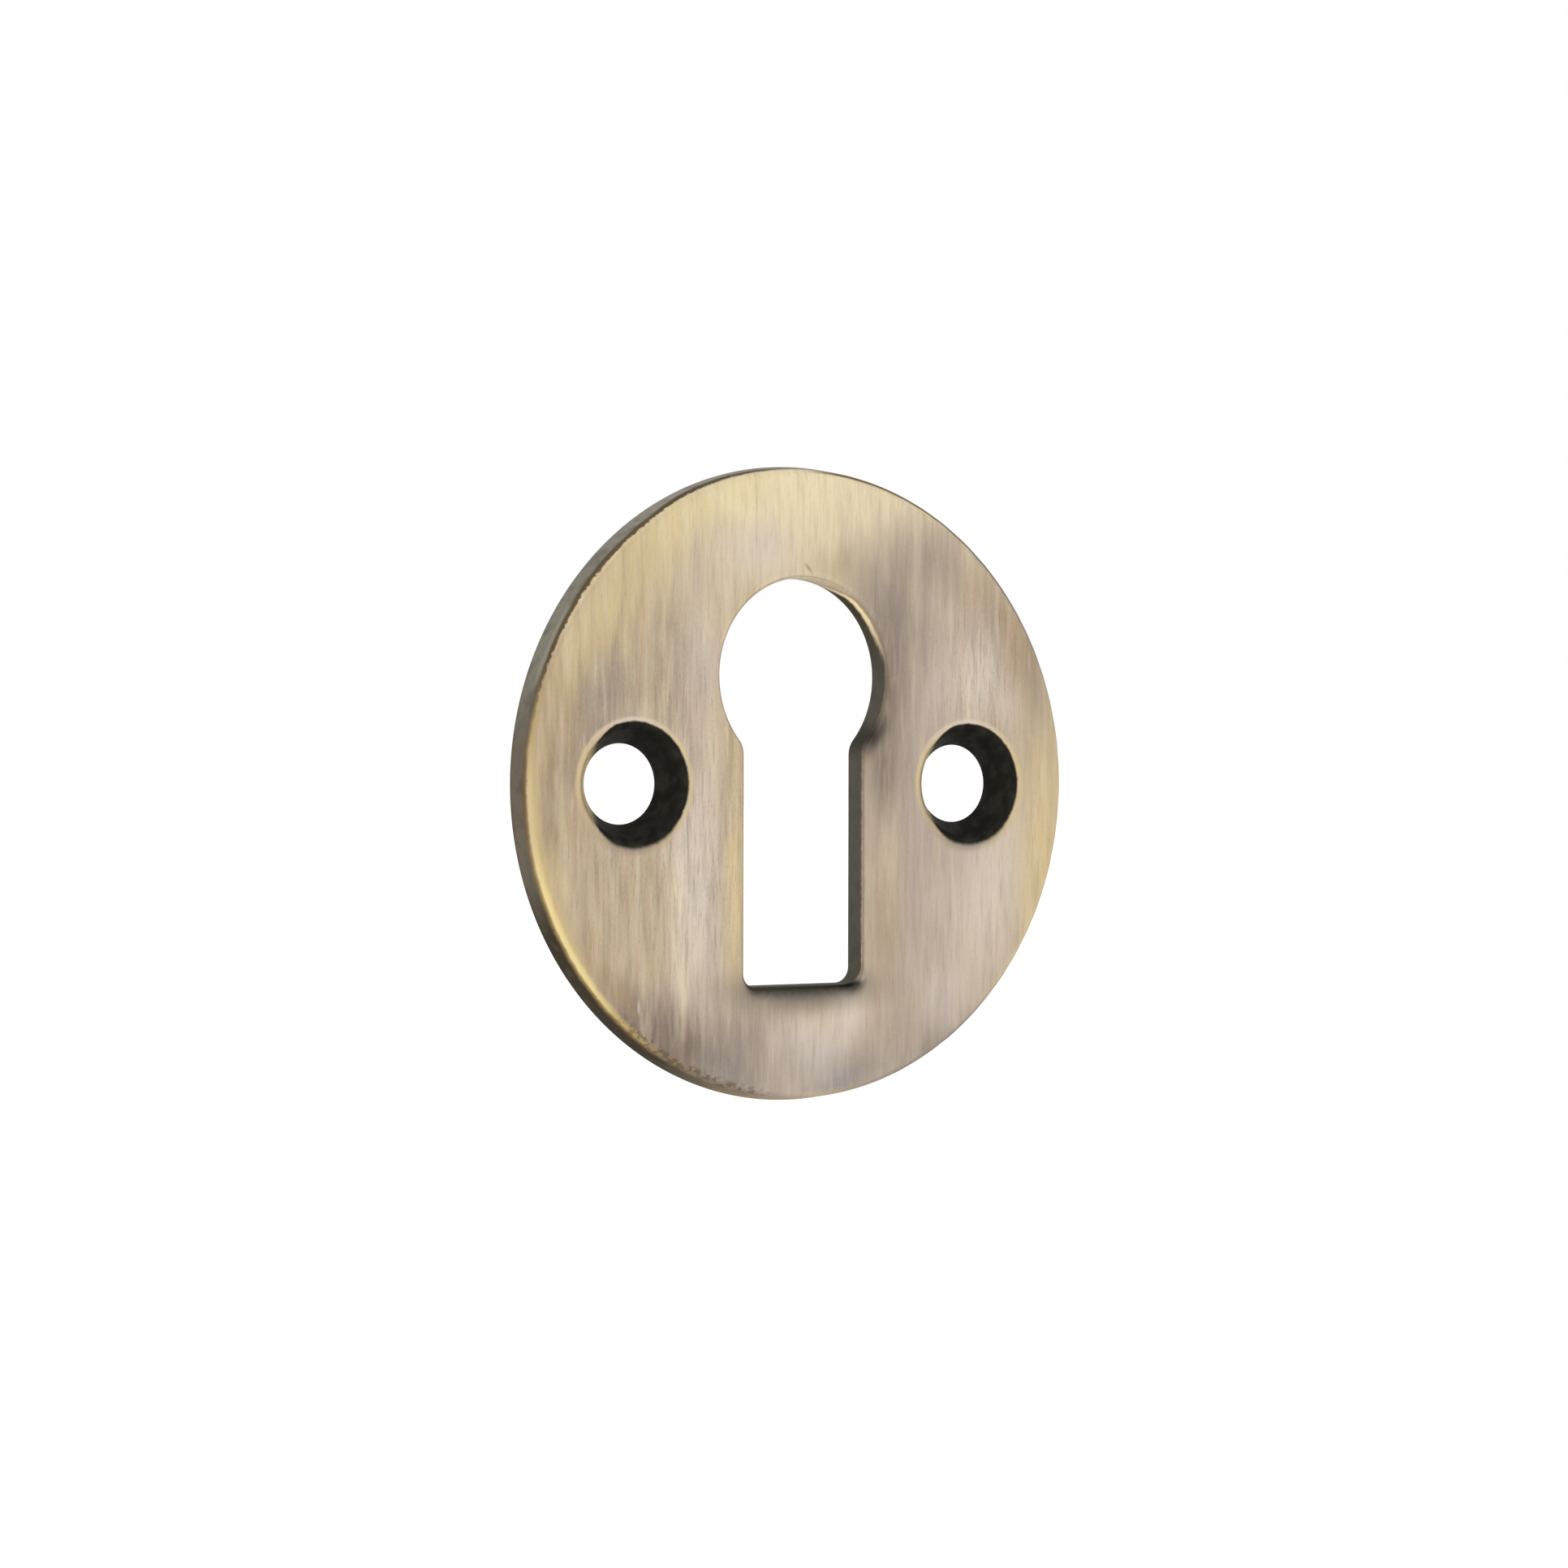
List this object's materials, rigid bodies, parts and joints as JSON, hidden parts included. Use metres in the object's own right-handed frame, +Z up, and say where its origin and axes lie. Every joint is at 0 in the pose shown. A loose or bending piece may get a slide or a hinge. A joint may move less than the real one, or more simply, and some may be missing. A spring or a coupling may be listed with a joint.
{
  "type": "keyhole escutcheon",
  "caption": "Flat round escutcheon plate with a keyhole, a round head over a straight slot, between two countersunk screw holes, in brushed antique brass.",
  "frame": {"origin": "centre of the plate's back face, midway between the two screw holes", "axes": "+X to the right and +Z up as the plate hangs on its door, +Y into the door, so the front faces -Y"},
  "size_m": [0.032, 0.0016, 0.032],
  "materials": {
    "antique_brass": "vertically brushed antique brass, patina in the recesses, bright worn edges"
  },
  "bodies": {
    "root": {"escutcheon_plate": "antique_brass"}
  },
  "joints": []
}
